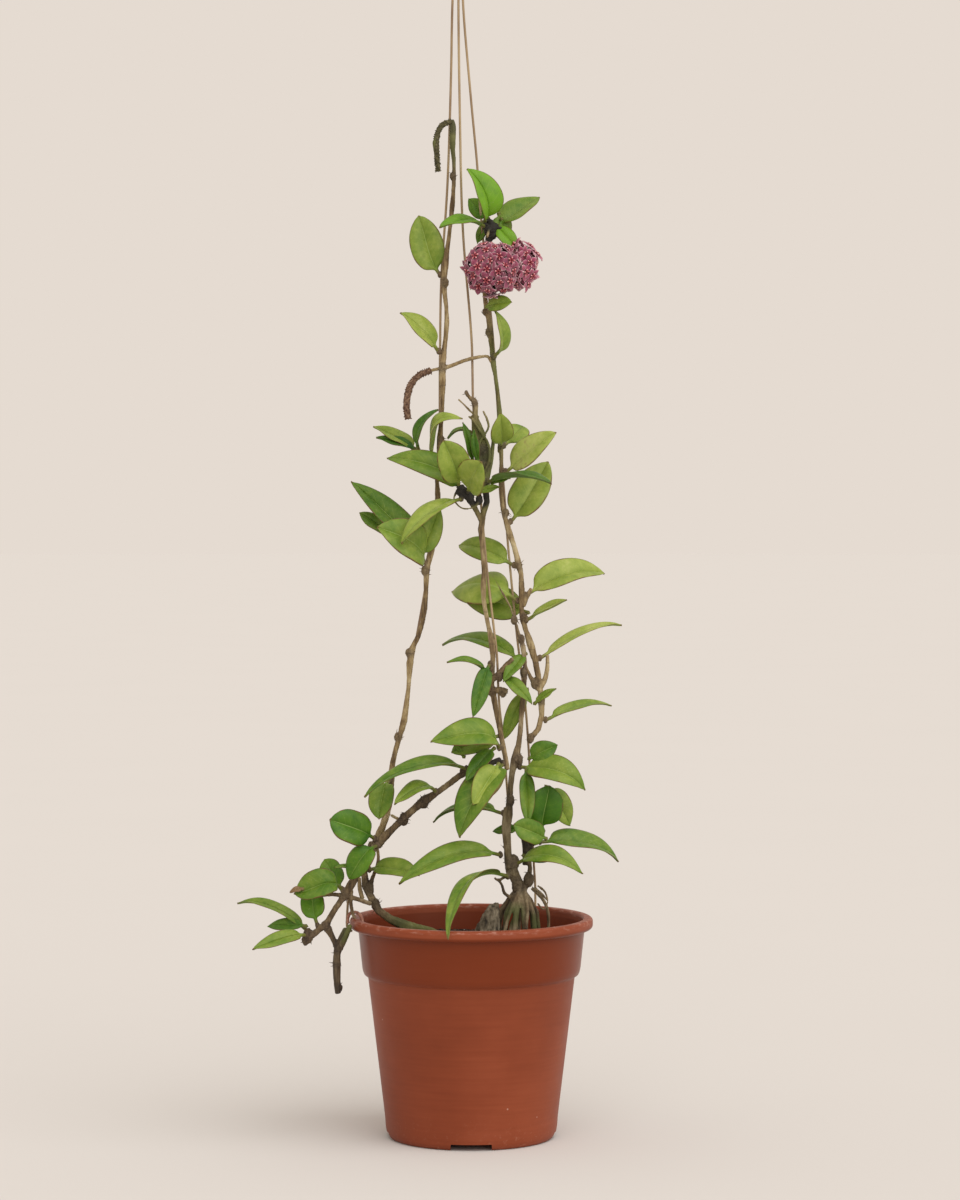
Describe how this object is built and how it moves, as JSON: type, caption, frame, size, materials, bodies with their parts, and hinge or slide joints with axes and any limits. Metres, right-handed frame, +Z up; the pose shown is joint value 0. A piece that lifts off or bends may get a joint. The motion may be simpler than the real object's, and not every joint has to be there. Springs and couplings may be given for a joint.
{
  "type": "potted climbing hoya plant",
  "caption": "Climbing hoya with thick waxy leaves and round pink flower umbels, rooted in a round plastic nursery pot with a wire hanger and hook.",
  "frame": {"origin": "on the pot's axis, in the plane that its ring foot and the flat middle of its base stand on", "axes": "+Z up along the pot's axis; the plant's front, with both flower umbels, faces -Y; the stem that arches over the lip leaves towards -X"},
  "size_m": [0.271, 0.1768, 0.9144],
  "materials": {
    "pot": "terracotta-brown moulded plastic, soft sheen, a glossier band below the lip",
    "mix": "dark moist bark and peat crumbs, rough",
    "bark": "grey weathered bark, rough and split",
    "stem": "tan to grey-brown woody stem with leaf joints and scars",
    "leaf": "thick waxy yellow-green leaf with a pale midrib and a thin brown edge",
    "flower": "felted dusty pink star florets with glossy red centres",
    "wire": "brown coated wire",
    "hook": "dull plated steel"
  },
  "bodies": {
    "root": {"pot": "pot", "potting_mix": "mix", "bark_stump": "bark", "left_vine": "stem", "middle_vine": "stem", "right_vine": "stem", "main_vine": "stem", "arching_stem": "stem", "left_wire": "wire", "middle_wire": "wire", "right_wire": "wire", "hanger_hook": "hook", "left_umbel": "flower", "right_umbel": "flower", "leaf_left_1": "leaf", "leaf_left_2": "leaf", "leaf_left_3": "leaf", "leaf_left_4": "leaf", "leaf_left_5": "leaf", "leaf_left_6": "leaf", "leaf_left_7": "leaf", "leaf_left_8": "leaf", "leaf_middle_1": "leaf", "leaf_middle_2": "leaf", "leaf_middle_3": "leaf", "leaf_middle_4": "leaf", "leaf_middle_5": "leaf", "leaf_middle_6": "leaf", "leaf_middle_7": "leaf", "leaf_top_1": "leaf", "leaf_top_2": "leaf", "leaf_top_3": "leaf", "leaf_right_1": "leaf", "leaf_right_2": "leaf", "leaf_right_3": "leaf", "leaf_right_4": "leaf", "leaf_right_5": "leaf", "leaf_right_6": "leaf", "leaf_right_7": "leaf", "leaf_right_8": "leaf", "leaf_right_9": "leaf", "leaf_right_10": "leaf", "leaf_right_11": "leaf", "leaf_main_1": "leaf", "leaf_main_2": "leaf", "leaf_main_3": "leaf", "leaf_main_4": "leaf", "leaf_main_5": "leaf", "leaf_main_6": "leaf", "leaf_shoot_1": "leaf", "leaf_shoot_2": "leaf", "leaf_arch_1": "leaf", "leaf_arch_2": "leaf", "leaf_arch_3": "leaf", "leaf_arch_4": "leaf", "leaf_arch_5": "leaf", "leaf_arch_6": "leaf", "leaf_arch_7": "leaf", "leaf_arch_8": "leaf", "leaf_arch_9": "leaf"}
  },
  "joints": []
}
